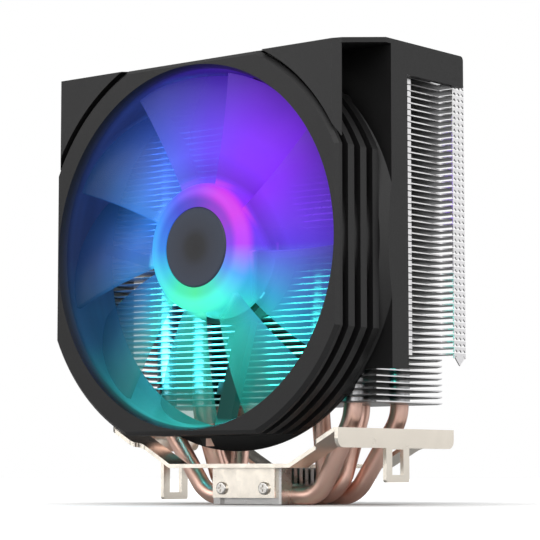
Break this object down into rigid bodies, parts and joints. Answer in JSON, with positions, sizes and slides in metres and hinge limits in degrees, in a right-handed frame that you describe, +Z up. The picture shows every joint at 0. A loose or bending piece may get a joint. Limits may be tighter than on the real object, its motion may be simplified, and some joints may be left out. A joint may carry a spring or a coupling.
{
  "type": "cpu tower cooler",
  "caption": "CPU tower cooler: copper heat pipes rise from a hook-on base through stacked aluminium fins, with a lit fan under a black hood.",
  "frame": {"origin": "centre of the base's contact face, where it rests on the processor", "axes": "+X right, +Y back and +Z up; the fan's intake faces -Y"},
  "size_m": [0.1252, 0.0776, 0.1453],
  "materials": {
    "base": "milled",
    "heat_pipes": "bright copper",
    "fins": "stamped, satin",
    "mounting_frame": "nickel-plated",
    "screws": "nickel-plated",
    "hood": "fine matte texture",
    "fan_frame": "fine matte texture",
    "black_screws": "black oxide",
    "impeller": "translucent, lit from the hub",
    "hub_cap": "matte",
    "rotor_steel": "turned",
    "magnet": "ferrite",
    "bearing": "oil-filled bronze",
    "washer": "nylon",
    "core_steel": "laminated",
    "bobbins": "moulded",
    "windings": "enamelled copper wire",
    "board": "green solder mask",
    "leds": "moulded"
  },
  "bodies": {
    "cooler": {"base_block": "base", "heat_pipe_1": "heat_pipes", "heat_pipe_2": "heat_pipes", "heat_pipe_3": "heat_pipes", "heat_pipe_4": "heat_pipes", "plain_fins": "fins", "winged_fins": "fins", "mounting_frame": "mounting_frame", "frame_screws": "screws", "hood": "hood", "fan_frame": "fan_frame", "fan_screws": "black_screws", "bearing_sleeve": "bearing", "thrust_washer": "washer", "stator_core": "core_steel", "stator_bobbins": "bobbins", "stator_windings": "windings", "fan_board": "board", "fan_leds": "leds"},
    "rotor": {"impeller": "impeller", "hub_cap": "hub_cap", "rotor_yoke": "rotor_steel", "magnet_ring": "magnet", "rotor_shaft": "rotor_steel", "shaft_clip": "rotor_steel"}
  },
  "joints": [
    {"name": "fan_spin", "type": "hinge", "parent": "cooler", "child": "rotor", "pos_m": [0, -0.034, 0.0822], "axis": [0, 1, 0], "continuous": true}
  ]
}
